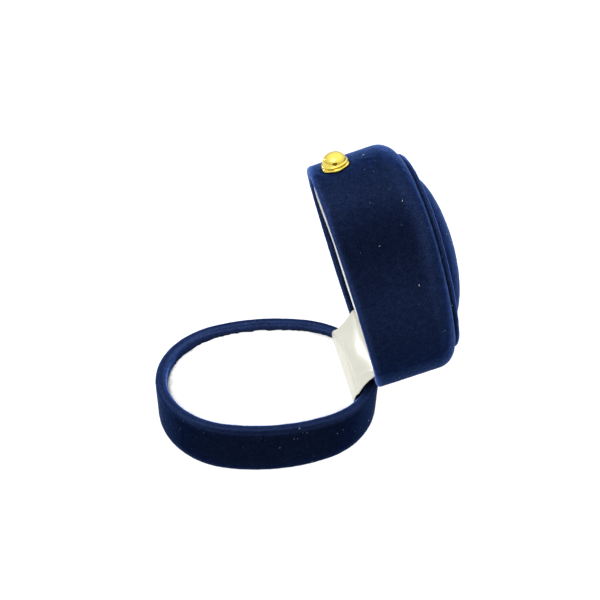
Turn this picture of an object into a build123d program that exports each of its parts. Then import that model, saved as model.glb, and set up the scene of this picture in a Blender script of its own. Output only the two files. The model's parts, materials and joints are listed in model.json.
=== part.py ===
from build123d import *
from math import hypot, radians, tan
import os

# Oval ring box with a flocked base and a stepped, domed lid on a snap hinge.
# Origin: centre of the underside. +Z up, -Y towards the button, hinge line along X at the +Y end.
# The lid stands open. Its pieces are drawn on planes that have swung open with it.

# ---------------------------------------------------------------- driving dimensions, mm, degrees
length = 60.0            # front to back, over the flock
width = 48.0
end_radius = 23.0        # plan radius of the front and the back
base_height = 15.7
wall = 2.75
floor = 2.0
bottom_radius = 4.8      # rolled lower edge of the base
rim_radius = 0.9         # soft flocked edges of both rims

opening = 72.0           # the lid's angle from closed, as modelled
lid_travel = 78.0        # where the two rear rims meet
rim_gap = 0.2            # between the closed rims, taken up by the flock
lid_wall_height = 21.2
roof = 2.0
shoulder_radius = 4.9
tier_inset = 3.8         # the raised oval step on the lid
tier_rise = 1.35
tier_radius = 1.0
crown_inset = 8.4        # where the dome leaves the step
crown_height = 28.3      # top of the dome above the lid's rim
crown_sink = 1.5         # depth of the dome's widest level below the step's top

pin_from_back = 2.5      # hinge pin, measured in from the rear of the outline
pin_above_base = 0.6     # and up from the base's rim
pin_radius = 0.5
pin_clearance = 0.03
knuckle_radius = 1.0
hinge_width = 12.0
knuckle_gap = 0.2
centre_knuckle = 4.8
leaf_thickness = 0.5
leaf_depth = 6.4
seat_clearance = 0.1
barrel_room = 0.6        # around the knuckles, between them and the shells
end_room = 0.4           # past each end of the knuckles
land_front_wall = 0.6    # stock left in front of the barrel's room
land_cheek = 2.0         # and at each end of the hinge
spring_width = 3.2
spring_thickness = 0.3
foot_length = 1.6        # spring's foot on the base leaf
joggle_length = 1.6      # where the spring steps forward to the cam
cam_flat = 0.15          # how far the two snap flats cut into the centre knuckle

chord_y = 20.8           # the satin strip crosses both openings along this line
strip_thickness = 0.5
strip_width = 28.2
strip_below_rim = 0.4    # where it leaves the base, below the rim
strip_inside_lid = 1.0   # where it enters the lid, in from the rim
strip_tuck = 3.5         # each end runs this far down behind the padding

pad_top = 13.5           # ring pad, measured from the underside
card = 1.0
velour = 0.6
slot_y = -3.0
slot_width = 2.2
slot_length = 28.0
slot_depth = 9.0
fit_gap = 0.1            # between bonded pieces

lining_edge = 2.6        # lid lining, measured in from the lid's rim
lining_floor = 10.6
lining = 0.6
wadding = 3.0

button_height = 6.0      # button axis above the lid's rim
seat_depth = 0.15        # flat seat for the button in the curved front wall
collar_corner = 3.6      # hexagonal collar, centre to corner
collar_rounding = 1.6
collar_height = 1.3
collar_step = 0.45
dome_radius = 2.8
dome_height = 2.0
neck_height = 0.35
shank_radius = 0.8
washer_radius = 2.4
washer_thickness = 0.4

# ---------------------------------------------------------------- derived dimensions and planes
end_centre_y = length / 2 - end_radius
side_radius = (end_centre_y**2 + width**2 / 4 - end_radius**2) / (width - 2 * end_radius)
side_centre_x = side_radius - width / 2

pin_y = length / 2 - pin_from_back
pin_z = base_height + pin_above_base
relief_radius = knuckle_radius + barrel_room
relief_width = hinge_width + 2 * end_room
land_front = pin_y - relief_radius - land_front_wall
land_width = hinge_width + 2 * land_cheek

to_pin = Pos(0, pin_y, pin_z)
swing = to_pin * Rot(X=-opening) * to_pin.inverse()


def swung(plane):
    """A plane of the closed lid, turned with the lid to where it stands open."""
    return Plane(swing * plane.location)


lid_rim = swung(Plane.XY.offset(base_height + rim_gap))
lid_up = Axis(lid_rim.origin, lid_rim.z_dir)

# Sections across the hinge: local x runs to the rear, local y up from the pin.
base_section = Plane(origin=(0, pin_y, pin_z), x_dir=(0, 1, 0), z_dir=(1, 0, 0))
lid_section = swung(base_section)
# Front views of the hinge: local x along the pin, local y up from it.
base_front = Plane(origin=(0, pin_y, pin_z), x_dir=(1, 0, 0), z_dir=(0, -1, 0))
lid_front = swung(base_front)

button_z = base_height + rim_gap + button_height
button_face = swung(Plane(origin=(0, -length / 2, button_z), x_dir=(1, 0, 0), z_dir=(0, -1, 0)))
# Section through the button: local x points out of the wall, along the button's axis.
button_section = swung(Plane(origin=(0, -length / 2, button_z), x_dir=(0, -1, 0), z_dir=(-1, 0, 0)))
button_axis = Axis(button_section.origin, button_section.x_dir)


# ---------------------------------------------------------------- shared outlines
def oval(inset=0.0):
    """Four-arc plan outline, set in from the outside of the shells."""
    radius = end_radius - inset
    end_y = length / 2 - inset
    side_x = width / 2 - inset
    reach = hypot(side_centre_x, end_centre_y)
    join_x = radius * side_centre_x / reach
    join_y = end_centre_y + radius * end_centre_y / reach
    with BuildLine() as outline:
        ThreePointArc((-join_x, join_y), (0, end_y), (join_x, join_y))
        ThreePointArc((join_x, join_y), (side_x, 0), (join_x, -join_y))
        ThreePointArc((join_x, -join_y), (0, -end_y), (-join_x, -join_y))
        ThreePointArc((-join_x, -join_y), (-side_x, 0), (-join_x, join_y))
    make_face(outline.edges())


def padded_oval(inset, back):
    """The oval cut off straight at y = back, in front of the hinge."""
    oval(inset)
    with Locations((0, back)):
        Rectangle(2 * width, 2 * length, align=(Align.CENTER, Align.MAX), mode=Mode.INTERSECT)


def hinge_land():
    """Plan of the flat-fronted block that backs the hinge inside each rear wall."""
    oval(wall / 2)
    with Locations((0, land_front)):
        Rectangle(land_width, length, align=(Align.CENTER, Align.MIN), mode=Mode.INTERSECT)


def cut_hinge_seat(section, front, up):
    """Cut the hinge's room out of a shell. up is 1 for the lid and -1 for the base."""
    slope = tan(radians(lid_travel / 2))
    behind = 2 * pin_from_back
    beyond = -up * base_height
    with BuildSketch(section) as relief:
        with BuildLine() as wedge:
            Polyline((0, 0), (behind, up * slope * behind), (behind, beyond), (0, beyond), close=True)
        make_face(wedge.edges())
    extrude(relief.sketch, amount=width / 2, both=True, mode=Mode.SUBTRACT)

    with BuildSketch(section) as barrel:
        Circle(relief_radius)
    extrude(barrel.sketch, amount=relief_width / 2, both=True, mode=Mode.SUBTRACT)

    pocket_depth = knuckle_radius + leaf_depth + 2 * seat_clearance
    with BuildSketch(front) as pocket:
        with Locations((0, up * pocket_depth / 2)):
            Rectangle(hinge_width + 2 * seat_clearance, pocket_depth)
    extrude(pocket.sketch, amount=leaf_thickness / 2 + seat_clearance, both=True, mode=Mode.SUBTRACT)


def hinge_leaf(section, front, up, spans):
    """Flat leaf with a bored knuckle on each of spans, pairs of x limits along the pin."""
    plate_start = knuckle_radius + seat_clearance
    with BuildSketch(front) as blank:
        with Locations((0, up * (plate_start + leaf_depth / 2))):
            Rectangle(hinge_width, leaf_depth)
        for low, high in spans:
            with Locations(((low + high) / 2, up * plate_start / 2)):
                Rectangle(high - low, plate_start)
    extrude(blank.sketch, amount=leaf_thickness / 2, both=True)
    for low, high in spans:
        with BuildSketch(section.offset(low)) as knuckle:
            Circle(knuckle_radius)
        extrude(knuckle.sketch, amount=high - low)
    with BuildSketch(section) as bore:
        Circle(pin_radius + pin_clearance)
    extrude(bore.sketch, amount=hinge_width, both=True, mode=Mode.SUBTRACT)


# ---------------------------------------------------------------- base shell
with BuildPart() as base_shell:
    with BuildSketch():
        oval()
    extrude(amount=base_height)
    fillet(base_shell.faces().sort_by(Axis.Z)[0].edges(), radius=bottom_radius)
    with BuildSketch(Plane.XY.offset(floor)):
        oval(wall)
    extrude(amount=base_height, mode=Mode.SUBTRACT)
    fillet(base_shell.faces().sort_by(Axis.Z)[-1].edges(), radius=rim_radius)
    with BuildSketch(Plane.XY.offset(floor)):
        hinge_land()
    extrude(amount=base_height - floor)
    cut_hinge_seat(base_section, base_front, -1)
    # Room for the snap spring, in front of the pin.
    with BuildSketch(base_front):
        Rectangle(
            spring_width + 4 * seat_clearance,
            leaf_depth + knuckle_radius + seat_clearance,
            align=(Align.CENTER, Align.MAX),
        )
    extrude(amount=knuckle_radius + spring_thickness + 3 * seat_clearance, mode=Mode.SUBTRACT)
base_shell.part.label = "base_shell"

# ---------------------------------------------------------------- ring pad in the base
pad_inset = wall + fit_gap
pad_back = chord_y - strip_thickness
foam_inset = pad_inset + velour + fit_gap
foam_back = pad_back - velour - fit_gap
foam_bottom = floor + 2 * fit_gap + card
foam_top = pad_top - velour - fit_gap
slot_half = slot_width / 2
tuck_half = slot_half + velour
tuck_bottom = pad_top - slot_depth - velour

with BuildPart() as insert_card:
    with BuildSketch(Plane.XY.offset(floor + fit_gap)):
        padded_oval(pad_inset, pad_back)
    extrude(amount=card)
insert_card.part.label = "insert_card"

foam_edge = slot_y - tuck_half - fit_gap
with BuildPart() as ring_foam_front:
    with BuildSketch(Plane.XY.offset(foam_bottom)):
        padded_oval(foam_inset, foam_edge)
    extrude(amount=foam_top - foam_bottom)
ring_foam_front.part.label = "ring_foam_front"

with BuildPart() as ring_foam_rear:
    with BuildSketch(Plane.XY.offset(foam_bottom)):
        padded_oval(foam_inset, foam_back)
        with Locations((0, slot_y + tuck_half + fit_gap)):
            Rectangle(width, length, align=(Align.CENTER, Align.MIN), mode=Mode.INTERSECT)
    extrude(amount=foam_top - foam_bottom)
ring_foam_rear.part.label = "ring_foam_rear"

# Velour skin over both foams, tucked down between them to line the ring slot.
with BuildPart() as insert_cover:
    with BuildSketch(Plane.XY.offset(foam_bottom)):
        padded_oval(pad_inset, pad_back)
    extrude(amount=pad_top - foam_bottom)
    fillet(insert_cover.faces().sort_by(Axis.Z)[-1].edges(), radius=velour)
    with BuildSketch(Plane.XY.offset(foam_bottom)):
        padded_oval(foam_inset - fit_gap, foam_back + fit_gap)
    extrude(amount=foam_top + fit_gap - foam_bottom, mode=Mode.SUBTRACT)
    with BuildSketch(Plane.XY.offset(tuck_bottom)):
        padded_oval(foam_inset - fit_gap, foam_back + fit_gap)
        with Locations((0, slot_y)):
            Rectangle(width, 2 * tuck_half, mode=Mode.INTERSECT)
    extrude(amount=pad_top - velour - tuck_bottom)
    with BuildSketch(Plane.XY.offset(tuck_bottom + velour)):
        with Locations((0, slot_y)):
            Rectangle(slot_length, slot_width)
    extrude(amount=slot_depth, mode=Mode.SUBTRACT)
insert_cover.part.label = "insert_cover"

# ---------------------------------------------------------------- lid shell
tier_top = lid_wall_height + tier_rise
crown_level = tier_top - crown_sink
crown_rise = crown_height - crown_level
spread = (1 - (crown_sink / crown_rise) ** 2) ** 0.5

with BuildPart() as crown:
    Sphere(1)
    scale(by=((width / 2 - crown_inset) / spread, (length / 2 - crown_inset) / spread, crown_rise))

with BuildPart() as crown_hollow:
    Sphere(1)
    scale(by=(
        (width / 2 - crown_inset) / spread - roof,
        (length / 2 - crown_inset) / spread - roof,
        crown_rise - roof,
    ))

with BuildPart() as lid_shell:
    with BuildSketch(lid_rim):
        oval()
    extrude(amount=lid_wall_height)
    fillet(lid_shell.faces().sort_by(lid_up)[-1].edges(), radius=shoulder_radius)
    with BuildSketch(lid_rim.offset(lid_wall_height - shoulder_radius)):
        oval(tier_inset)
    extrude(amount=shoulder_radius + tier_rise)
    fillet(lid_shell.faces().sort_by(lid_up)[-1].edges(), radius=tier_radius)
    add(crown.part.moved(lid_rim.offset(crown_level).location))
    with BuildSketch(lid_rim):
        oval(wall)
    extrude(amount=lid_wall_height - roof, mode=Mode.SUBTRACT)
    with BuildSketch(lid_rim.offset(lid_wall_height - roof)):
        oval(tier_inset + wall)
    extrude(amount=tier_rise, mode=Mode.SUBTRACT)
    add(crown_hollow.part.moved(lid_rim.offset(crown_level).location), mode=Mode.SUBTRACT)
    fillet(lid_shell.faces().sort_by(lid_up)[0].edges(), radius=rim_radius)
    with BuildSketch(lid_rim):
        hinge_land()
    extrude(amount=lid_wall_height - roof)
    cut_hinge_seat(lid_section, lid_front, 1)
    # Button: a flat seat outside, a hole through the wall and a washer seat inside.
    with BuildSketch(button_face):
        Circle(collar_corner + 2 * fit_gap)
    extrude(amount=-seat_depth, mode=Mode.SUBTRACT)
    with BuildSketch(button_face):
        Circle(shank_radius + fit_gap)
    extrude(amount=-2 * wall, mode=Mode.SUBTRACT)
    with BuildSketch(button_face.offset(-2 * wall)):
        Circle(washer_radius + 2 * fit_gap)
    extrude(amount=wall + washer_thickness + fit_gap, mode=Mode.SUBTRACT)
lid_shell.part.label = "lid_shell"

# ---------------------------------------------------------------- lid lining
lining_back = chord_y - strip_thickness
card_floor = lining_floor + lining + wadding + 2 * fit_gap
skin_inset = pad_inset + velour + fit_gap

with BuildPart() as lid_card:
    with BuildSketch(lid_rim.offset(lining_edge)):
        padded_oval(pad_inset, lining_back)
    extrude(amount=card_floor + card - lining_edge)
    with BuildSketch(lid_rim.offset(lining_edge)):
        padded_oval(pad_inset + velour, lining_back - velour)
    extrude(amount=card_floor - lining_edge, mode=Mode.SUBTRACT)
lid_card.part.label = "lid_card"

with BuildPart() as lid_wadding:
    with BuildSketch(lid_rim.offset(lining_floor + lining + fit_gap)):
        padded_oval(skin_inset + fit_gap, lining_back - velour - 2 * fit_gap)
    extrude(amount=wadding)
lid_wadding.part.label = "lid_wadding"

with BuildPart() as lid_lining:
    with BuildSketch(lid_rim.offset(lining_edge)):
        padded_oval(skin_inset, lining_back - velour - fit_gap)
    extrude(amount=lining_floor + lining - lining_edge)
    with BuildSketch(lid_rim.offset(lining_edge)):
        padded_oval(skin_inset + lining, lining_back - velour - fit_gap - lining)
    extrude(amount=lining_floor - lining_edge, mode=Mode.SUBTRACT)
lid_lining.part.label = "lid_lining"

# ---------------------------------------------------------------- hinge
half_hinge = hinge_width / 2
half_centre = centre_knuckle / 2
outer_span = (half_centre + knuckle_gap, half_hinge)

with BuildPart() as hinge_base_leaf:
    hinge_leaf(base_section, base_front, -1, [outer_span, (-outer_span[1], -outer_span[0])])
    with BuildSketch(base_front):
        with Locations((0, -(knuckle_radius + leaf_depth / 2))):
            Rectangle(spring_width + 4 * seat_clearance, leaf_depth / 2, align=(Align.CENTER, Align.MIN))
    extrude(amount=leaf_thickness, both=True, mode=Mode.SUBTRACT)
hinge_base_leaf.part.label = "hinge_base_leaf"

# The centre knuckle is a cam: one flat faces the spring when closed, the other when open.
with BuildPart() as hinge_lid_leaf:
    hinge_leaf(lid_section, lid_front, 1, [(-half_centre, half_centre)])
    for turn in (0, opening):
        with BuildSketch(lid_section) as flat:
            with Locations(Location((0, 0, 0), (0, 0, turn))):
                with Locations((-knuckle_radius + cam_flat, 0)):
                    Rectangle(knuckle_radius, 2 * knuckle_radius, align=(Align.MAX, Align.CENTER))
        extrude(flat.sketch, amount=centre_knuckle, both=True, mode=Mode.SUBTRACT)
hinge_lid_leaf.part.label = "hinge_lid_leaf"

with BuildPart() as hinge_pin:
    with BuildSketch(base_section):
        Circle(pin_radius)
    extrude(amount=half_hinge + knuckle_gap, both=True)
hinge_pin.part.label = "hinge_pin"

# Flat spring strip: its foot lies on the base leaf and its tip bears on the cam.
spring_line = -(knuckle_radius + fit_gap / 2 + spring_thickness / 2)
foot_line = -(leaf_thickness / 2 + fit_gap / 2 + spring_thickness / 2)
with BuildPart() as snap_spring:
    with BuildSketch(base_section):
        with BuildLine():
            Polyline(
                (foot_line, -(knuckle_radius + leaf_depth)),
                (foot_line, -(knuckle_radius + leaf_depth - foot_length)),
                (spring_line, -(knuckle_radius + leaf_depth - foot_length - joggle_length)),
                (spring_line, knuckle_radius - seat_clearance),
            )
        trace(line_width=spring_thickness)
    extrude(amount=spring_width / 2, both=True)
snap_spring.part.label = "snap_spring"

# Satin strip that hides the hinge, from behind the ring pad to behind the lid lining.
base_edge = (chord_y - pin_y, base_height - strip_below_rim - pin_z)
lid_edge = (chord_y - pin_y, base_height + rim_gap + strip_inside_lid - pin_z)


def on_base(point):
    """A lid point of the hinge section, swung into the base's section."""
    turned = Vector(point[0], point[1]).rotate(Axis.Z, -opening)
    return (turned.X, turned.Y)


with BuildPart() as hinge_cover:
    with BuildSketch(base_section):
        with BuildLine():
            Polyline(
                (base_edge[0], base_edge[1] - strip_tuck),
                base_edge,
                on_base(lid_edge),
                on_base((lid_edge[0], lid_edge[1] + strip_tuck)),
            )
        trace(line_width=strip_thickness)
    extrude(amount=strip_width / 2, both=True)
hinge_cover.part.label = "hinge_cover"

# ---------------------------------------------------------------- button
collar_back = fit_gap / 2 - seat_depth
collar_front = collar_back + collar_height

with BuildPart() as button_collar:
    with BuildSketch(button_face.offset(collar_back)):
        RegularPolygon(collar_corner, 6)
        fillet(vertices(), radius=collar_rounding)
    extrude(amount=collar_height - collar_step)
    fillet(button_collar.faces().sort_by(button_axis)[-1].edges(), radius=collar_step / 2)
    with BuildSketch(button_face.offset(collar_front - collar_step)):
        Circle(dome_radius + collar_step / 2)
    extrude(amount=collar_step)
    with BuildSketch(button_face.offset(collar_back)):
        Circle(shank_radius + fit_gap)
    extrude(amount=collar_height, mode=Mode.SUBTRACT)
button_collar.part.label = "button_collar"

dome_back = collar_front + fit_gap / 2
neck_top = dome_back + neck_height
dome_top = neck_top + dome_height
ball_radius = (dome_radius**2 + dome_height**2) / (2 * dome_height)
with BuildPart() as button_dome:
    with BuildSketch(button_section):
        with BuildLine():
            Polyline((dome_top, 0), (dome_back, 0), (dome_back, dome_radius), (neck_top, dome_radius))
            RadiusArc((neck_top, dome_radius), (dome_top, 0), ball_radius)
        make_face()
    revolve(axis=button_axis)
    with BuildSketch(button_face.offset(dome_back)):
        Circle(shank_radius)
    extrude(amount=-(dome_back + wall))
button_dome.part.label = "button_dome"

with BuildPart() as button_washer:
    with BuildSketch(button_face.offset(-wall + fit_gap / 2)):
        Circle(washer_radius)
        Circle(shank_radius + fit_gap / 2, mode=Mode.SUBTRACT)
    extrude(amount=washer_thickness)
button_washer.part.label = "button_washer"

# ---------------------------------------------------------------- files
pieces = [
    base_shell, insert_card, ring_foam_front, ring_foam_rear, insert_cover,
    lid_shell, lid_card, lid_wadding, lid_lining,
    hinge_base_leaf, hinge_lid_leaf, hinge_pin, snap_spring, hinge_cover,
    button_collar, button_dome, button_washer,
]
os.makedirs("parts", exist_ok=True)
for piece in pieces:
    export_step(piece.part, f"parts/{piece.part.label}.step")
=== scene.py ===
import json
import math

import bpy
import numpy as np
from mathutils import Matrix, Vector


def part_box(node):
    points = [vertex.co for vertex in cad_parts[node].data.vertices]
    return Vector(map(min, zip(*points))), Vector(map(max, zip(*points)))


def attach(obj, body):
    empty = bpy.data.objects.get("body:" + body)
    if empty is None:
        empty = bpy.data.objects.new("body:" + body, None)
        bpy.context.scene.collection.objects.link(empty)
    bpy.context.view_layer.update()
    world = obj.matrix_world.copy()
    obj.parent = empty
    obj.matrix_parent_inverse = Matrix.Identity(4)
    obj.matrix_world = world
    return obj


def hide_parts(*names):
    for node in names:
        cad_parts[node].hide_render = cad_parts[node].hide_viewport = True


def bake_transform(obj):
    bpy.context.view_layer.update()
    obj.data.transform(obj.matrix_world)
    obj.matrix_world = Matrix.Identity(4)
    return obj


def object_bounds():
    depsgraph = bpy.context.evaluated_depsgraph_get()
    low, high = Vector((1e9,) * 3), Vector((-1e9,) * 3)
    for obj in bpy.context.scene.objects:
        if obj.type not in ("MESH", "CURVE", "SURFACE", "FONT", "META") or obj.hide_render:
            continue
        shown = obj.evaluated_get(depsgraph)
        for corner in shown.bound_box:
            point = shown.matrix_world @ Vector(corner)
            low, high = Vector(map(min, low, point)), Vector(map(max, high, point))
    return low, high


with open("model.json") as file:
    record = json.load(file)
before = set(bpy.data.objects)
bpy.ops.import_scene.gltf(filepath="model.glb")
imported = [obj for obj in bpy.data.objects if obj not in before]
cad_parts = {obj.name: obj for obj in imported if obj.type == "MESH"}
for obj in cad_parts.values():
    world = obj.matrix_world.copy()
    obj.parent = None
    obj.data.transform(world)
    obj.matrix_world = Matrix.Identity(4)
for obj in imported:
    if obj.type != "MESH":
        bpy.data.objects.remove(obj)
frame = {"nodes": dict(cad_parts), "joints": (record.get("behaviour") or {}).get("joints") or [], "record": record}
cad_low, cad_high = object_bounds()

# ------------------------------------------------------------------ measures, in metres and radians
MM = 0.001
hinge = next(joint for joint in frame["joints"] if joint["name"] == "lid_hinge")
pin = Vector(hinge["pos_m"])
opening = -math.radians(hinge["range_deg"][0])

base_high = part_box("base_shell")[1]
pad_low, pad_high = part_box("insert_cover")
half_width = base_high.x
half_length = base_high.y
rim_z = base_high.z

END_RADIUS = 23 * MM        # plan radius of the box's front and back
WALL = 2.75 * MM
RIM_GAP = 0.2 * MM          # between the two rims when shut
PILE = 0.10 * MM            # typical height of the flock
PILE_CELL = 0.27 * MM       # voxel size of the flocked surfaces
SLOT_Y = -3 * MM            # ring slot
CHORD_Y = 20.8 * MM         # line along which the satin strip crosses both halves
BUTTON_HEIGHT = 6.0 * MM    # button axis above the lid's rim

lid_rim_z = rim_z + RIM_GAP
end_centre = half_length - END_RADIUS
side_radius = (end_centre**2 + half_width**2 - END_RADIUS**2) / (2 * (half_width - END_RADIUS))
side_centre = side_radius - half_width
end_reach = math.hypot(side_centre, end_centre)

# The box stands open, but the lid's pieces are drawn shut and turned back about the pin.
LID_TURN = Matrix.Translation(pin) @ Matrix.Rotation(-opening, 4, "X") @ Matrix.Translation(-pin)
random = np.random.default_rng(11)      # places the lint


# ------------------------------------------------------------------ outlines
def oval_x(y, inset):
    """Half width of the shells' four-arc oval at y, set in from the outside."""
    radius = END_RADIUS - inset
    if abs(y) > end_centre + radius * end_centre / end_reach:
        return math.sqrt(max(radius**2 - (abs(y) - end_centre) ** 2, 0.0))
    return math.sqrt((side_radius - inset) ** 2 - y**2) - side_centre


def spaced(points, count):
    """Closed outline with count points at even spacing."""
    closed = np.vstack([points, points[:1]])
    run = np.concatenate([[0], np.cumsum(np.linalg.norm(np.diff(closed, axis=0), axis=1))])
    at = np.linspace(0, run[-1], count, endpoint=False)
    return np.column_stack([np.interp(at, run, closed[:, axis]) for axis in range(2)])


def outline(inset, low, high, count=240, softening=6):
    """The oval between y = low and y = high, anticlockwise, with softened corners."""
    turn = np.linspace(0, math.pi, 200)
    ys = (low + high) / 2 - (high - low) / 2 * np.cos(turn)
    right = np.array([(oval_x(y, inset), y) for y in ys])
    left = right[::-1] * (-1, 1)
    loop = spaced(np.vstack([right, left]), count)
    for _ in range(softening):
        loop = (np.roll(loop, 1, axis=0) + 2 * loop + np.roll(loop, -1, axis=0)) / 4
    return loop


def shrunk(loop, distance):
    """An outline moved inwards by distance along its own normals."""
    along = np.roll(loop, -1, axis=0) - np.roll(loop, 1, axis=0)
    inward = np.column_stack([-along[:, 1], along[:, 0]])
    inward /= np.linalg.norm(inward, axis=1)[:, None]
    return loop + inward * distance


# ------------------------------------------------------------------ mesh helpers
def add_mesh(name, points, faces, material, place=None):
    """Smooth-shaded mesh object with one material."""
    mesh = bpy.data.meshes.new(name)
    mesh.from_pydata([tuple(point) for point in points], [], [tuple(face) for face in faces])
    mesh.materials.append(material)
    mesh.shade_smooth()
    thing = bpy.data.objects.new(name, mesh)
    if place is not None:
        thing.matrix_world = place
    bpy.context.scene.collection.objects.link(thing)
    return thing


def loft(name, loops, material, place=None, start_cap=False, end_cap=True):
    """Closed rings of equal count joined by quads; a cap closes an end with a fan about its centre."""
    count = len(loops[0])
    points = [point for loop in loops for point in loop]
    faces = []
    for ring in range(len(loops) - 1):
        for step in range(count):
            after = (step + 1) % count
            low, high = ring * count, (ring + 1) * count
            faces.append((low + step, low + after, high + after, high + step))
    if start_cap:
        points.append(np.mean(loops[0], axis=0))
        faces += [(len(points) - 1, (step + 1) % count, step) for step in range(count)]
    if end_cap:
        points.append(np.mean(loops[-1], axis=0))
        first = (len(loops) - 1) * count
        faces += [(len(points) - 1, first + step, first + (step + 1) % count) for step in range(count)]
    return add_mesh(name, points, faces, material, place)


def raised(loop, height):
    """A plan outline lifted to a height."""
    return np.column_stack([loop, np.full(len(loop), height)])


def revolve(name, profile, material, place, segments=96):
    """A (radius, height) profile turned about local Z, with a fan over each end."""
    turn = np.linspace(0, 2 * math.pi, segments, endpoint=False)
    loops = [
        np.column_stack([radius * np.cos(turn), radius * np.sin(turn), np.full(segments, height)])
        for radius, height in profile
    ]
    return loft(name, loops, material, place, start_cap=True)


def arc(centre, radius, start, end, steps, squash=1.0):
    """Points of an arc in a profile, angles in degrees from the radius axis; squash scales its height."""
    return [
        (centre[0] + radius * math.cos(math.radians(angle)),
         centre[1] + squash * radius * math.sin(math.radians(angle)))
        for angle in np.linspace(start, end, steps)
    ]


def modifier(thing, kind, **settings):
    """Adds a modifier and sets its properties."""
    made = thing.modifiers.new(kind.lower(), kind)
    for name, value in settings.items():
        setattr(made, name, value)
    return made


def bake(thing):
    """Applies an object's modifiers."""
    solved = bpy.data.meshes.new_from_object(thing.evaluated_get(bpy.context.evaluated_depsgraph_get()))
    thing.modifiers.clear()
    thing.data = solved
    solved.shade_smooth()


SIMULATION_GROWTH = 10.0    # cloth is simulated this many times full size, then put back
FABRIC_STIFFNESS = 8
FABRIC_BENDING = 0.2
FABRIC_MASS = 0.3


def puff(thing, held, pressure, cap, slack=0.0, frames=20):
    """Inflates a cushion by a short cloth simulation. held tests which points are fixed, cap limits how far
    a point may travel and slack adds cloth so that it puckers."""
    mesh = thing.data
    rest = np.array([vertex.co for vertex in mesh.vertices])
    mesh.transform(Matrix.Scale(SIMULATION_GROWTH, 4))
    group = thing.vertex_groups.new(name="held")
    group.add([index for index, point in enumerate(rest) if held(point)], 1.0, "REPLACE")
    cloth = modifier(thing, "CLOTH")
    cloth.settings.use_pressure = True
    cloth.settings.uniform_pressure_force = pressure
    cloth.settings.vertex_group_mass = group.name
    cloth.settings.effector_weights.gravity = 0
    cloth.settings.mass = FABRIC_MASS
    cloth.settings.quality = 6
    cloth.settings.shrink_min = -slack
    cloth.settings.tension_stiffness = FABRIC_STIFFNESS
    cloth.settings.compression_stiffness = FABRIC_STIFFNESS
    cloth.settings.bending_stiffness = FABRIC_BENDING
    for number in range(1, frames + 1):
        bpy.context.scene.frame_set(number)
    solved = thing.evaluated_get(bpy.context.evaluated_depsgraph_get()).to_mesh()
    moved = np.array([vertex.co for vertex in solved.vertices]) / SIMULATION_GROWTH - rest
    thing.modifiers.clear()
    thing.vertex_groups.clear()
    travel = np.linalg.norm(moved, axis=1)[:, None]
    moved *= np.minimum(1.0, cap / np.maximum(travel, 1e-9))
    mesh.vertices.foreach_set("co", (rest + moved).ravel())
    mesh.update()
    bpy.context.scene.frame_set(1)


# ------------------------------------------------------------------ node helpers
def new_material(name):
    """A material with a Principled shader; returns it with its tree and shader."""
    material = bpy.data.materials.new(name)
    material.use_nodes = True
    tree = material.node_tree
    return material, tree, tree.nodes["Principled BSDF"]


def node(tree, kind, inputs=None, **settings):
    """Adds a node, sets its properties and fills or links its inputs."""
    made = tree.nodes.new(kind)
    for name, value in settings.items():
        setattr(made, name, value)
    for key, value in (inputs or {}).items():
        if isinstance(value, bpy.types.NodeSocket):
            tree.links.new(value, made.inputs[key])
        else:
            made.inputs[key].default_value = value
    return made


def object_noise(tree, scale, detail=2.0, roughness=0.5):
    """Noise in object space; scale counts features per metre."""
    place = node(tree, "ShaderNodeTexCoord")
    return node(
        tree, "ShaderNodeTexNoise",
        {"Vector": place.outputs["Object"], "Scale": scale, "Detail": detail, "Roughness": roughness},
    ).outputs["Fac"]


def ramp(tree, value, stops):
    """Colour ramp; stops are (position, colour or grey level)."""
    made = node(tree, "ShaderNodeValToRGB", {"Fac": value})
    elements = made.color_ramp.elements
    while len(elements) < len(stops):
        elements.new(0.5)
    for element, (position, colour) in zip(elements, stops):
        element.position = position
        element.color = (*colour, 1.0) if isinstance(colour, tuple) else (colour,) * 3 + (1.0,)
    return made.outputs["Color"]


def mix(tree, factor, first, second, blend="MIX"):
    """Mixes two colours."""
    made = node(tree, "ShaderNodeMix", data_type="RGBA", blend_type=blend)
    for key, value in ((0, factor), (6, first), (7, second)):
        if isinstance(value, bpy.types.NodeSocket):
            tree.links.new(value, made.inputs[key])
        elif isinstance(value, tuple):
            made.inputs[key].default_value = (*value, 1.0)
        else:
            made.inputs[key].default_value = value
    return made.outputs[2]


def bump(tree, height, distance, strength=1.0):
    """Bump from a height value; distance is in metres."""
    return node(
        tree, "ShaderNodeBump", {"Height": height, "Distance": distance, "Strength": strength}
    ).outputs["Normal"]


# ------------------------------------------------------------------ materials
def wall_light_tone(tree, outside, inside):
    """Painted light on an upright wall: one tone on faces that look away from the Z axis, one on faces towards it.
    """
    surface = node(tree, "ShaderNodeNewGeometry").outputs
    plan = node(
        tree, "ShaderNodeVectorMath", {0: surface["Position"], 1: (1, 1, 0)}, operation="MULTIPLY"
    ).outputs["Vector"]
    outward = node(tree, "ShaderNodeVectorMath", {0: plan}, operation="NORMALIZE").outputs["Vector"]
    lean = node(
        tree, "ShaderNodeVectorMath", {0: surface["Normal"], 1: outward}, operation="DOT_PRODUCT"
    ).outputs["Value"]
    return node(
        tree, "ShaderNodeMapRange",
        {"Value": lean, "From Min": -0.8, "From Max": 0.8, "To Min": inside, "To Max": outside},
    ).outputs["Result"]


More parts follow.
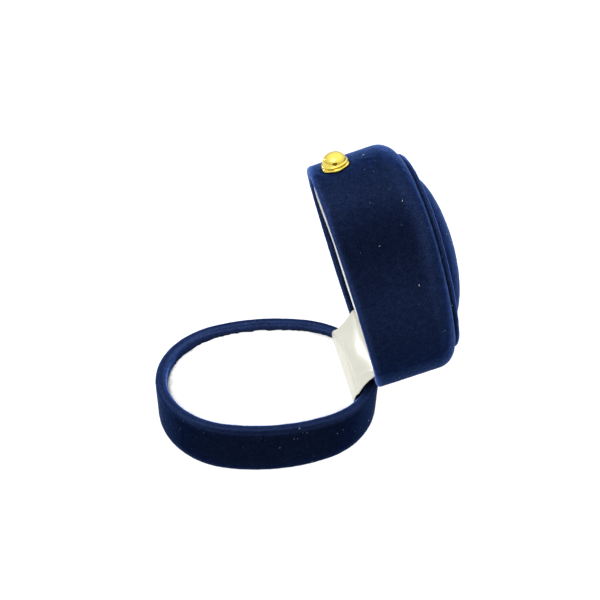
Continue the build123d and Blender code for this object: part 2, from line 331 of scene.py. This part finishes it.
def navy_flock(name, nap_and_wall_light=None):
    """Short dense navy pile with a fine grain. Its colour carries painted light: a painted sheen, near black face
    on and bluer where seen along the surface, painted shade in creases and a painted highlight on raised edges.
    The optional second argument gives the tones outside and inside an upright wall, as painted shade and painted
    light."""
    material, tree, shader = new_material(name)
    patches = object_noise(tree, 110, 3.0, 0.6)
    pile = object_noise(tree, 3800, 2.0, 0.7)
    # Relief of the shell: drives painted shade in hollows and a painted highlight on raised edges.
    shading_relief = node(tree, "ShaderNodeAttribute", attribute_name="shading_relief").outputs["Fac"]
    raised_up = node(
        tree, "ShaderNodeMapRange", {"Value": shading_relief, "From Min": -1.0, "From Max": 1.0}
    ).outputs["Result"]
    # Painted sheen on the navy: lighter and bluer as the surface turns edge-on to the view.
    facing = node(tree, "ShaderNodeLayerWeight", {"Blend": 0.35}).outputs["Facing"]
    colour = ramp(tree, facing, [
        (0.0, (0.0026, 0.0050, 0.0158)), (0.11, (0.0060, 0.0108, 0.033)), (0.25, (0.0051, 0.0098, 0.031)),
        (0.4, (0.0045, 0.0104, 0.040)), (0.65, (0.019, 0.040, 0.124)), (1.0, (0.095, 0.145, 0.33)),
    ])
    tones = [
        ramp(tree, raised_up, [(0.0, 0.3), (0.5, 1.0), (1.0, 2.3)]),
        ramp(tree, patches, [(0.3, 0.88), (0.7, 1.12)]),
        ramp(tree, pile, [(0.3, 0.45), (0.72, 1.75)]),
    ]
    # Painted shade on an upright wall's outside and painted light on its inside.
    if nap_and_wall_light:
        tones.append(wall_light_tone(tree, *nap_and_wall_light))
    for tone in tones:
        colour = mix(tree, 1.0, colour, tone, "MULTIPLY")
    tree.links.new(colour, shader.inputs["Base Color"])
    shader.inputs["Roughness"].default_value = 1.0
    shader.inputs["Specular IOR Level"].default_value = 0.0
    tree.links.new(bump(tree, pile, 0.12 * MM, 0.8), shader.inputs["Normal"])
    return material


def lint_fibre():
    """Pale dust and fibre ends caught in the pile."""
    material, tree, shader = new_material("lint")
    tone = object_noise(tree, 400)
    tree.links.new(
        ramp(tree, tone, [(0.4, (0.10, 0.12, 0.17)), (0.6, (0.50, 0.50, 0.48))]), shader.inputs["Base Color"]
    )
    shader.inputs["Roughness"].default_value = 0.8
    return material


def white_velour():
    """White brushed velour."""
    material, tree, shader = new_material("white_velour")
    nap_and_wall_light = object_noise(tree, 5200, 2.0, 0.6)
    patches = object_noise(tree, 160, 2.0)
    woven = ramp(tree, nap_and_wall_light, [(0.3, (0.86, 0.86, 0.85)), (0.7, (0.93, 0.93, 0.92))])
    tree.links.new(mix(tree, patches, woven, (0.90, 0.90, 0.89)), shader.inputs["Base Color"])
    shader.inputs["Roughness"].default_value = 0.9
    shader.inputs["Specular IOR Level"].default_value = 0.1
    shader.inputs["Sheen Weight"].default_value = 0.3
    shader.inputs["Sheen Roughness"].default_value = 0.5
    tree.links.new(bump(tree, nap_and_wall_light, 0.06 * MM, 0.6), shader.inputs["Normal"])
    return material


def ivory_satin(name, dark, light):
    """Ivory satin: soft sheen, fine threads across the strip."""
    material, tree, shader = new_material(name)
    place = node(tree, "ShaderNodeTexCoord")
    stretch = node(
        tree, "ShaderNodeMapping", {"Vector": place.outputs["Object"], "Scale": (1.0, 14.0, 14.0)}
    )
    threads = node(
        tree, "ShaderNodeTexNoise", {"Vector": stretch.outputs["Vector"], "Scale": 900.0, "Detail": 2.0}
    ).outputs["Fac"]
    tone = object_noise(tree, 140, 2.0)
    colour = ramp(tree, tone, [(0.3, dark), (0.7, light)])
    tree.links.new(colour, shader.inputs["Base Color"])
    tree.links.new(ramp(tree, threads, [(0.3, 0.17), (0.7, 0.25)]), shader.inputs["Roughness"])
    shader.inputs["Specular IOR Level"].default_value = 0.7
    shader.inputs["Sheen Weight"].default_value = 0.1
    tree.links.new(bump(tree, threads, 0.02 * MM, 0.5), shader.inputs["Normal"])
    return material


def metal(name, colour, dark, roughness, grain):
    """Metal whose tone and roughness vary a little; grain counts features per metre."""
    material, tree, shader = new_material(name)
    marks = object_noise(tree, grain, 3.0, 0.6)
    tree.links.new(ramp(tree, marks, [(0.25, dark), (0.6, colour)]), shader.inputs["Base Color"])
    shader.inputs["Metallic"].default_value = 1.0
    tree.links.new(
        ramp(tree, marks, [(0.3, roughness * 1.5), (0.7, roughness)]), shader.inputs["Roughness"]
    )
    tree.links.new(bump(tree, marks, 0.004 * MM, 0.5), shader.inputs["Normal"])
    return material


def grainy(name, dark, light, grain, relief):
    """Matt material with a two-tone grain: card, foam or a painted floor."""
    material, tree, shader = new_material(name)
    spots = object_noise(tree, grain, 4.0, 0.7)
    tree.links.new(ramp(tree, spots, [(0.35, dark), (0.65, light)]), shader.inputs["Base Color"])
    shader.inputs["Roughness"].default_value = 0.9
    tree.links.new(bump(tree, spots, relief, 0.6), shader.inputs["Normal"])
    return material


SEEN_GLOW = 0.93           # floor light towards the camera
MIRRORED_GLOW = 0.45       # and towards the metal


def lit_floor():
    """Pale floor that gives off light only towards the camera and in reflections, as on a light table."""
    material, tree, shader = new_material("studio_floor")
    tone = ramp(tree, object_noise(tree, 3), [(0.3, 0.23), (0.7, 0.25)])
    tree.links.new(tone, shader.inputs["Base Color"])
    shader.inputs["Roughness"].default_value = 0.8
    shader.inputs["Specular IOR Level"].default_value = 0.1
    shader.inputs["Emission Color"].default_value = (1, 1, 1, 1)
    rays = node(tree, "ShaderNodeLightPath").outputs
    glow = node(
        tree, "ShaderNodeMapRange",
        {"Value": rays["Is Camera Ray"], "To Min": MIRRORED_GLOW, "To Max": SEEN_GLOW},
    ).outputs["Result"]
    direct = node(
        tree, "ShaderNodeMath", {0: rays["Is Camera Ray"], 1: rays["Is Glossy Ray"]}, operation="MAXIMUM"
    ).outputs[0]
    glow = node(tree, "ShaderNodeMath", {0: direct, 1: glow}, operation="MULTIPLY").outputs[0]
    tree.links.new(glow, shader.inputs["Emission Strength"])
    return material


flock = navy_flock("navy_flock")
# The base's flock is a copy with painted light: darker outside its walls, as painted shade, and lighter inside, as
# painted light from the white pad.
base_flock = navy_flock("navy_flock_base", nap_and_wall_light=(0.55, 1.7))
lint = lint_fibre()
velour = white_velour()
# Two copies of one ivory satin: the lining's is lighter than the strip's, as painted light for the lining, which
# lies in the lid's shade.
satin = ivory_satin("ivory_satin", (0.515, 0.51, 0.44), (0.55, 0.545, 0.48))
lining_satin = ivory_satin("lining_satin", (0.74, 0.735, 0.69), (0.82, 0.815, 0.78))
gilt = metal("gilt_brass", (1.0, 0.80, 0.15), (0.99, 0.73, 0.11), 0.07, 260)
nickel = metal("plated_steel", (0.62, 0.61, 0.58), (0.45, 0.44, 0.42), 0.25, 900)
tempered = metal("spring_steel", (0.30, 0.31, 0.33), (0.18, 0.19, 0.21), 0.35, 900)
board = grainy("greyboard", (0.36, 0.34, 0.30), (0.55, 0.52, 0.47), 1500, 0.05 * MM)
foam = grainy("foam", (0.70, 0.69, 0.64), (0.86, 0.86, 0.82), 1100, 0.2 * MM)
felt = grainy("brown_felt", (0.15, 0.08, 0.02), (0.18, 0.10, 0.03), 900, 0.1 * MM)
paint = lit_floor()

SLOT_MATERIALS = {
    "navy_flock": flock, "greyboard": board, "foam": foam, "white_velour": velour, "ivory_satin": satin,
    "plated_steel": nickel, "spring_steel": tempered, "gilt_brass": gilt,
}
for part in frame["record"]["subparts"]:
    shown = frame["nodes"][part["node"]]
    shown.data.materials.clear()
    shown.data.materials.append(SLOT_MATERIALS[part["material_slot"]])


# ------------------------------------------------------------------ flocked shells
def mark_shading_relief(mesh, steps=16):
    """Stores how far each point stands out of its surroundings, in pile heights, as a point attribute that the
    flock turns into painted shade in hollows and a painted highlight on raised edges.
    """
    count = len(mesh.vertices)
    points = np.empty(3 * count, dtype=np.float32)
    mesh.vertices.foreach_get("co", points)
    normals = np.empty(3 * count, dtype=np.float32)
    mesh.vertex_normals.foreach_get("vector", normals)
    ends = np.empty(2 * len(mesh.edges), dtype=np.int32)
    mesh.edges.foreach_get("vertices", ends)
    points, normals, ends = points.reshape(-1, 3), normals.reshape(-1, 3), ends.reshape(-1, 2)
    here = np.concatenate([ends[:, 0], ends[:, 1]])
    beside = np.concatenate([ends[:, 1], ends[:, 0]])
    neighbours = np.bincount(here, minlength=count)[:, None]
    level = points.astype(float)
    for _ in range(steps):
        around = np.column_stack([np.bincount(here, level[beside, axis], count) for axis in range(3)])
        level = (level + around / neighbours) / 2
    height = ((points - level) * normals).sum(axis=1)
    shading_relief = mesh.attributes.new("shading_relief", "FLOAT", "POINT")
    shading_relief.data.foreach_set("value", (height / PILE).astype(np.float32))


def flocked(name, node_name, body, material):
    """The moulded shell under its pile: softened edges and a faintly uneven, brushed surface."""
    source = frame["nodes"][node_name]
    shell = bpy.data.objects.new(name, source.data.copy())
    shell.matrix_world = source.matrix_world
    bpy.context.scene.collection.objects.link(shell)
    modifier(shell, "REMESH", mode="VOXEL", voxel_size=PILE_CELL)
    modifier(shell, "SMOOTH", factor=0.5, iterations=4)
    pile = bpy.data.textures.new(f"{name}_pile", "CLOUDS")
    pile.noise_scale = 1.6 * MM
    pile.noise_depth = 3
    # The negative middle level keeps even the lowest pile just outside the shell.
    modifier(shell, "DISPLACE", texture=pile, texture_coords="LOCAL", strength=1.2 * PILE, mid_level=-0.17)
    bake(shell)
    mark_shading_relief(shell.data)
    shell.data.materials.clear()
    shell.data.materials.append(material)
    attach(shell, body)
    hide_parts(node_name)
    return shell


def scatter_lint(name, shell, body, count):
    """Short bent fibres lying at random over a shell's outside."""
    mesh = shell.data
    faces = random.choice(len(mesh.polygons), size=count, replace=False)
    points, quads = [], []
    sides = 5
    for index in faces:
        face = mesh.polygons[int(index)]
        normal = face.normal
        along = normal.orthogonal().normalized()
        along.rotate(Matrix.Rotation(random.uniform(0, math.tau), 3, normal))
        across = normal.cross(along)
        size = float(random.choice([0.5, 0.8, 1.6], p=[0.6, 0.32, 0.08]))
        reach = size * random.uniform(0.10, 0.22) * MM
        thick = size * random.uniform(0.035, 0.06) * MM
        first = len(points)
        rings = (-1.0, -0.6, 0.0, 0.6, 1.0)
        for run in rings:
            middle = face.center + along * reach * run + across * reach * 0.5 * run**2 + normal * thick
            girth = thick * math.sqrt(max(1.05 - run**2, 0.05))
            for side in range(sides):
                turn = math.tau * side / sides
                points.append(middle + girth * (math.cos(turn) * across + math.sin(turn) * normal))
        for ring in range(len(rings) - 1):
            for side in range(sides):
                low = first + ring * sides
                after = (side + 1) % sides
                quads.append((low + side, low + after, low + sides + after, low + sides + side))
        quads.append([first + side for side in reversed(range(sides))])
        quads.append([first + (len(rings) - 1) * sides + side for side in range(sides)])
    flecks = add_mesh(name, points, quads, lint, shell.matrix_world.copy())
    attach(flecks, body)


base_pile = flocked("base_flocked", "base_shell", "base", base_flock)
lid_pile = flocked("lid_flocked", "lid_shell", "lid", flock)
scatter_lint("base_lint", base_pile, "base", 260)
scatter_lint("lid_lint", lid_pile, "lid", 300)


# ------------------------------------------------------------------ ring pad
PAD_INSET = WALL + 0.05 * MM
SLOT_REACH = 14 * MM        # half the ring slot's length
LIP_DEPTH = 0.9 * MM        # how far the velour turns down between the slot's lips
LIP_WIDTH = 0.45 * MM
PAD_PUFF = 0.9 * MM         # most that the pad's top may rise
PAD_PAST_STRIP = 0.45 * MM  # the pad runs on behind the satin strip


def into_slot(x, y):
    """How strongly a place on the pad is drawn down into the ring slot, from 0 to 1."""
    end = min(max((SLOT_REACH - abs(x)) / (2 * MM), 0.0), 1.0)
    return end * math.exp(-(((y - SLOT_Y) / LIP_WIDTH) ** 2))


def ring_pad():
    """Velour pad over two foams: filled out to the walls, crowned, its lips meeting along the ring slot."""
    loop = outline(PAD_INSET, -half_length + PAD_INSET, CHORD_Y + PAD_PAST_STRIP, softening=2)
    heights = np.linspace(pad_low.z, pad_high.z, 24)
    pad = loft("ring_pad", [raised(loop, height) for height in heights], velour, start_cap=True)
    modifier(pad, "REMESH", mode="VOXEL", voxel_size=0.45 * MM)
    modifier(pad, "SMOOTH", factor=0.5, iterations=1)
    bake(pad)
    skin = pad_high.z - PAD_PUFF
    at_strip = CHORD_Y - 0.3 * MM

    def held(point):
        """The sides, the edge at the satin strip and the ring slot stay down."""
        return point[2] < skin or point[1] > at_strip or into_slot(point[0], point[1]) > 0.5

    puff(pad, held, 2.0, PAD_PUFF)
    for vertex in pad.data.vertices:
        if vertex.co.z > skin:
            vertex.co.z -= LIP_DEPTH * into_slot(vertex.co.x, vertex.co.y)
    modifier(pad, "SUBSURF", levels=1, render_levels=1)
    bake(pad)
    pad.data.materials.clear()
    pad.data.materials.append(velour)
    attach(pad, "base")
    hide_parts("ring_foam_front", "ring_foam_rear", "insert_cover")


ring_pad()


# ------------------------------------------------------------------ lid lining
LINING_FLOOR = 10.6 * MM    # height of the lining's inner ceiling above the lid's rim
TRAY_MIDDLE = 3.15 * MM     # middle of the card tray's wall, in from the outside of the lid
TRAY_EDGE = 2.6 * MM        # edge of the card tray, in from the lid's rim
HEM_RADIUS = 0.42 * MM
HEM_LIFT = 1.5 * MM         # how far the hem is drawn towards the rim at the front
HEM_LIFT_BEHIND = 0.4       # share of that lift left at the rear
HEM_FADE = (-18 * MM, 4 * MM)


def lid_wall_lining():
    """Satin gathered round the inside of the card tray and rolled over its edge, higher at the front."""
    loop = outline(TRAY_MIDDLE, -half_length + TRAY_MIDDLE, CHORD_Y - 0.8 * MM, count=480, softening=14)
    turn = np.arange(len(loop)) * math.tau / len(loop)
    gather = 0.5 * np.sin(37 * turn) + 0.5 * np.sin(23 * turn + 1)
    behind = np.clip((loop[:, 1] - HEM_FADE[0]) / (HEM_FADE[1] - HEM_FADE[0]), 0, 1)
    lift = HEM_LIFT * (1 - (1 - HEM_LIFT_BEHIND) * behind**2 * (3 - 2 * behind))
    hem = arc((0, TRAY_EDGE), HEM_RADIUS, 180, 360, 11)
    wall_line = [(HEM_RADIUS + 0.25 * MM * share, TRAY_EDGE + share * (LINING_FLOOR + MM - TRAY_EDGE))
                 for share in np.linspace(0.04, 1, 24)]
    loops = []
    for inset, depth in hem + wall_line:
        share = min(max((depth - TRAY_EDGE) / (5 * MM), 0.0), 1.0)
        ring = raised(shrunk(loop, inset + share * 0.2 * MM * (1 + gather[:, None])), lid_rim_z + depth)
        ring[:, 2] -= lift * (1 - share)
        loops.append(ring)
    lining = loft("lid_wall_satin", loops, lining_satin, LID_TURN, end_cap=False)
    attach(lining, "lid")


def lid_cushion():
    """Puffed satin panel in the crown of the lid."""
    inset = TRAY_MIDDLE + HEM_RADIUS + 0.2 * MM
    loop = outline(inset, -half_length + inset, CHORD_Y - 1.4 * MM, softening=12)
    floor_z = lid_rim_z + LINING_FLOOR + 1.6 * MM
    edge = 2.6 * MM
    loops = [raised(loop, floor_z + depth) for depth in np.linspace(1.6 * MM, edge * 0.4, 3)]
    for angle in np.linspace(15, 90, 8):
        lean = math.radians(angle)
        height = floor_z + edge * 0.4 - edge * 0.8 * math.sin(lean)
        loops.append(raised(shrunk(loop, edge * (1 - math.cos(lean))), height))
    crown = loops[-1]
    middle = crown.mean(axis=0)
    for share in np.linspace(0.07, 0.93, 15):
        ring = crown + (middle - crown) * share
        ring[:, 2] = middle[2] - 1.2 * MM * math.sin(share * math.pi / 2)
        loops.append(ring)
    panel = loft("lid_cushion", loops, lining_satin, LID_TURN, start_cap=True)
    puff(panel, lambda point: point[2] > floor_z + 0.6 * MM, 1.0, 0.8 * MM, slack=0.04)
    modifier(panel, "SUBSURF", levels=1, render_levels=1)
    bake(panel)
    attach(panel, "lid")
    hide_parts("lid_lining", "lid_wadding")


lid_wall_lining()
lid_cushion()


# ------------------------------------------------------------------ satin strip over the hinge
STRIP_TUCK = 3.4 * MM       # each end runs this far down behind the padding
STRIP_HALF = 14.5 * MM
STRIP_WAIST = 1.0 * MM      # how much narrower each side is halfway
ROLL = 0.40 * MM            # bulge above the pad: a long rise, then a quick fall
ROLL_CREST = 1.7 * MM       # its crest above the base edge at the middle of the strip
ROLL_DROOP = 0.9 * MM       # and how much lower at the sides
ROLL_RISE = 2.6 * MM
ROLL_FALL = 0.40 * MM
SAG = 0.50 * MM
PLEAT = 0.05 * MM
CREASE = 0.14 * MM


def hinge_satin():
    """Loose satin strip from behind the ring pad to behind the lid lining, with a roll above the pad."""
    base_edge = Vector((0, CHORD_Y, rim_z - 0.3 * MM))
    lid_edge = LID_TURN @ Vector((0, CHORD_Y, lid_rim_z + 1.0 * MM))
    into_lid = LID_TURN.to_3x3() @ Vector((0, 0, 1))
    tucked = base_edge - Vector((0, 0, STRIP_TUCK))
    corners = [tucked, base_edge, lid_edge, lid_edge + into_lid * STRIP_TUCK]
    path = []
    for start, end in zip(corners, corners[1:]):
        steps = max(int((end - start).length / (0.16 * MM)), 2)
        path += [np.array(start.lerp(end, step / steps)) for step in range(steps)]
    path = np.array(path + [np.array(corners[-1])])
    for _ in range(14):
        path[1:-1] = (path[:-2] + 2 * path[1:-1] + path[2:]) / 4
    tangent = np.gradient(path, axis=0)
    tangent /= np.linalg.norm(tangent, axis=1)[:, None]
    outward = np.column_stack([np.zeros(len(path)), -tangent[:, 2], tangent[:, 1]])
    run = np.concatenate([[0], np.cumsum(np.linalg.norm(np.diff(path, axis=0), axis=1))])
    from_base = run - STRIP_TUCK
    span = (lid_edge - base_edge).length
    share = np.clip(from_base / span, 0, 1)

    across = np.linspace(-1, 1, 150)
    half = STRIP_HALF - STRIP_WAIST * np.sin(np.pi * share)
    points = []
    for row in range(len(path)):
        middle = math.sin(math.pi * share[row])
        for side in across:
            crest = ROLL_CREST - ROLL_DROOP * side**2
            past = from_base[row] - crest
            roll = ROLL * math.exp(-((past / (ROLL_RISE if past < 0 else ROLL_FALL)) ** 2))
            sag = SAG * middle * (1 - 0.8 * side**2)
            pleat = PLEAT * math.sin(5 * side + 3.0 * share[row]) * middle
            off_crease = side - 0.72 - 0.30 * (share[row] - 0.5)
            crease = CREASE * math.exp(-((off_crease / 0.045) ** 2)) * middle
            point = path[row] + outward[row] * (roll + sag + pleat + crease)
            point[0] = side * half[row]
            points.append(point)
    width = len(across)
    corners_of = (0, 1, width + 1, width)
    faces = [
        tuple(row * width + column + corner for corner in corners_of)
        for row in range(len(path) - 1) for column in range(width - 1)
    ]
    strip = add_mesh("hinge_satin", points, faces, satin)
    modifier(strip, "SOLIDIFY", thickness=0.22 * MM, offset=0)
    bake(strip)
    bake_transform(strip)
    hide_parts("hinge_cover")


hinge_satin()


# ------------------------------------------------------------------ button
def hexagon(corner, rounding, height, count=120):
    """Hexagon outline with rounded corners, centre to corner before rounding."""
    points = []
    for index in range(6):
        for turn in np.linspace(-30, 30, count // 6, endpoint=False):
            heading = math.radians(60 * index + turn)
            inner = corner - rounding / math.cos(math.radians(30))
            points.append((
                inner * math.cos(math.radians(60 * index)) + rounding * math.cos(heading),
                inner * math.sin(math.radians(60 * index)) + rounding * math.sin(heading),
            ))
    return raised(spaced(np.array(points), count), height)


# Section of the flange, in mm: inset from the hexagon, height off the lid's wall.
FLANGE_SECTION = [
    (0.5, -0.10), (0.22, 0.08), (0.05, 0.26), (0.0, 0.45), (0.08, 0.66), (0.28, 0.8), (0.6, 0.84),
]
FLANGE_CORNER = 3.6
FLANGE_ROUNDING = 1.8
SHOULDER = [(2.75, 0.84), (2.6, 0.9), (2.2, 0.9)]    # radius and height of the round step inside it, in mm


def button():
    """Gilt dome on a six-sided flange, standing on the lid's front wall."""
    seat = LID_TURN @ Matrix.Translation((0, -half_length, lid_rim_z + BUTTON_HEIGHT))
    seat = seat @ Matrix.Rotation(math.radians(90), 4, "X")
    loops = [
        hexagon((FLANGE_CORNER - inset) * MM, FLANGE_ROUNDING * MM, height * MM)
        for inset, height in FLANGE_SECTION
    ]
    turn = np.linspace(0, math.tau, len(loops[0]), endpoint=False)
    for radius, height in SHOULDER:
        loops.append(np.column_stack([
            radius * MM * np.cos(turn), radius * MM * np.sin(turn), np.full(len(turn), height * MM),
        ]))
    flange = loft("button_flange", loops, gilt, seat, start_cap=True)
    dome_profile = arc((2.78 * MM, 1.14 * MM), 0.30 * MM, -110, 90, 16)
    dome_profile += arc((0, 1.48 * MM), 2.74 * MM, 3, 88, 28, squash=0.78)
    cap = revolve("button_cap", dome_profile, gilt, seat)
    for piece, node_name in ((flange, "button_collar"), (cap, "button_dome")):
        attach(piece, "lid")
        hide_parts(node_name)


button()


# ------------------------------------------------------------------ stage
def make_floor():
    """A plane under the box."""
    half = 3.0
    corners = [(-half, -half, 0), (half, -half, 0), (half, half, 0), (-half, half, 0)]
    add_mesh("floor", corners, [(0, 1, 2, 3)], paint)


def area_light(name, place, target, size, power):
    """A square softbox at place, facing target."""
    light = bpy.data.lights.new(name, "AREA")
    light.size = size
    light.energy = power
    thing = bpy.data.objects.new(name, light)
    thing.location = place
    thing.rotation_euler = (Vector(target) - Vector(place)).to_track_quat("-Z", "Y").to_euler()
    bpy.context.scene.collection.objects.link(thing)


def dark_card():
    """A brown card by the camera that only shows as a reflection in the metal and the satin."""
    front, back = -0.15, 0.08
    foot, head = (0.30, 0.02), (0.27, 0.20)
    corners = [
        (foot[0], front, foot[1]), (foot[0], back, foot[1]),
        (head[0], back, head[1]), (head[0], front, head[1]),
    ]
    card = add_mesh("dark_card", corners, [(0, 1, 2, 3)], felt)
    card.visible_camera = False
    card.visible_diffuse = False
    card.visible_shadow = False


def make_world(level, low, high):
    """Light tent: plain white at one level, seen directly or as light on the box, but a gradient from low at
    the horizon to high overhead in reflections."""
    world = bpy.data.worlds.new("studio")
    world.use_nodes = True
    tree = world.node_tree
    place = node(tree, "ShaderNodeTexCoord")
    height = node(tree, "ShaderNodeSeparateXYZ", {"Vector": place.outputs["Generated"]}).outputs["Z"]
    fade = node(
        tree, "ShaderNodeMapRange",
        {"Value": height, "From Min": 0.0, "From Max": 0.8, "To Min": low, "To Max": high},
    ).outputs["Result"]
    rays = node(tree, "ShaderNodeLightPath").outputs
    strength = node(
        tree, "ShaderNodeMapRange", {"Value": rays["Is Glossy Ray"], "To Min": level, "To Max": fade}
    ).outputs["Result"]
    tree.links.new(strength, tree.nodes["Background"].inputs["Strength"])
    tree.nodes["Background"].inputs["Color"].default_value = (1, 1, 1, 1)
    bpy.context.scene.world = world


def make_camera(azimuth, elevation, roll, aim, distance, focal_length):
    """A close view from the box's right, with the front to the left."""
    azimuth, elevation, roll = (math.radians(angle) for angle in (azimuth, elevation, roll))
    back = Vector((
        math.sin(azimuth) * math.cos(elevation), -math.cos(azimuth) * math.cos(elevation), math.sin(elevation)
    ))
    lens = bpy.data.cameras.new("camera")
    lens.sensor_width = 36
    lens.lens = focal_length
    lens.clip_start = 0.01
    camera = bpy.data.objects.new("camera", lens)
    camera.location = Vector(aim) + back * distance
    level = (-back).to_track_quat("-Z", "Y").to_matrix().to_4x4()
    camera.rotation_euler = (level @ Matrix.Rotation(roll, 4, "Z")).to_euler()
    bpy.context.scene.collection.objects.link(camera)
    bpy.context.scene.camera = camera


centre = (cad_low + cad_high) / 2
make_floor()
make_world(level=1.5, low=0.5, high=1.2)
area_light("key_softbox", (0.22, -0.20, 0.50), centre, size=0.34, power=0.9)
satin_middle = (0, 0.023, 0.019)
area_light("side_softbox", (-0.36, -0.29, 0.13), satin_middle, size=0.045, power=0.18)
dark_card()
make_camera(
    azimuth=79.94, elevation=33.31, roll=2.10, aim=(0, 7.96 * MM, 37.24 * MM), distance=168.5 * MM,
    focal_length=39.78,
)
bpy.context.scene.view_settings.view_transform = "Standard"
